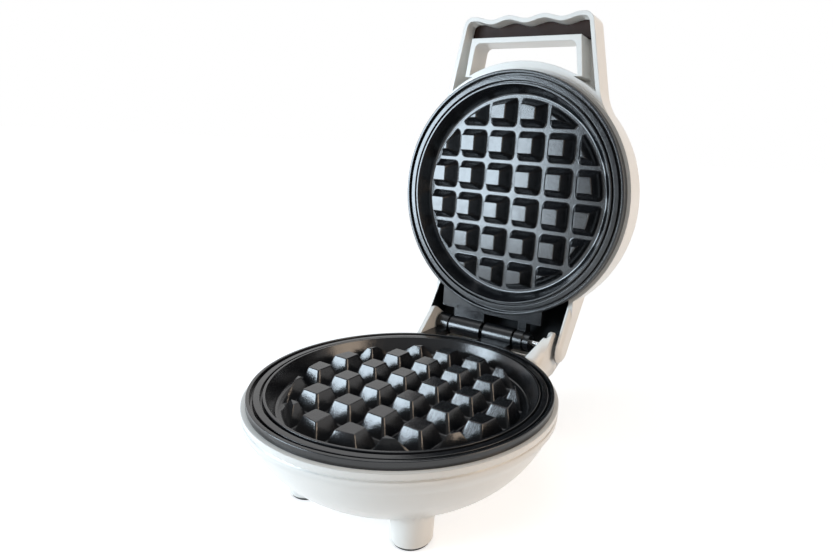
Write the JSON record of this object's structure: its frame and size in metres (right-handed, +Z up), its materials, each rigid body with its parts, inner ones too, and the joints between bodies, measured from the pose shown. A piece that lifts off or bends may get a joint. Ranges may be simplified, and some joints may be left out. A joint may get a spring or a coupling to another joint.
{
  "type": "mini waffle maker",
  "caption": "Countertop cooker with a round hinged lid, two gridded non-stick plates, a loop handle and a bowl-shaped base on four legs.",
  "frame": {"origin": "on the surface it stands on, under the centre of the lower cooking plate", "axes": "+Z up, +Y towards the hinge at the rear, +X to the right seen from the front"},
  "size_m": [0.1212, 0.162, 0.1984],
  "materials": {
    "base_shell": "glossy moulded phenolic",
    "lid_shell": "glossy moulded phenolic",
    "foot": "matt",
    "plate": "black non-stick coating, satin",
    "element": "dull oxidised sheath",
    "reflector": "rolled",
    "screw": "zinc plated",
    "pin": "bright steel",
    "gland": "matt",
    "terminal": "matt",
    "insert": "dark brown, satin",
    "thermostat": "phenolic body",
    "fuse": "plain can",
    "lens_power": "clear red",
    "lens_ready": "clear green",
    "lamp": "clear neon bulb",
    "holder": "matt"
  },
  "bodies": {
    "base": {"base_shell": "base_shell", "foot_pad_front_left": "foot", "foot_pad_front_right": "foot", "foot_pad_rear_left": "foot", "foot_pad_rear_right": "foot", "lower_plate": "plate", "lower_element": "element", "lower_reflector": "reflector", "base_screws": "screw", "hinge_pin": "pin", "pin_retainer": "pin", "cord_gland": "gland", "terminal_block": "terminal"},
    "lid": {"lid_shell": "lid_shell", "handle_insert": "insert", "upper_plate": "plate", "upper_element": "element", "upper_reflector": "reflector", "upper_reflector_screws": "screw", "thermostat": "thermostat", "thermal_fuse": "fuse", "power_lens": "lens_power", "ready_lens": "lens_ready", "power_lamp": "lamp", "ready_lamp": "lamp", "lamp_holder": "holder"}
  },
  "joints": [
    {"name": "lid_hinge", "type": "hinge", "parent": "base", "child": "lid", "pos_m": [0, 0.0695, 0.0442], "axis": [1, 0, 0], "range_deg": [0, 93]}
  ]
}
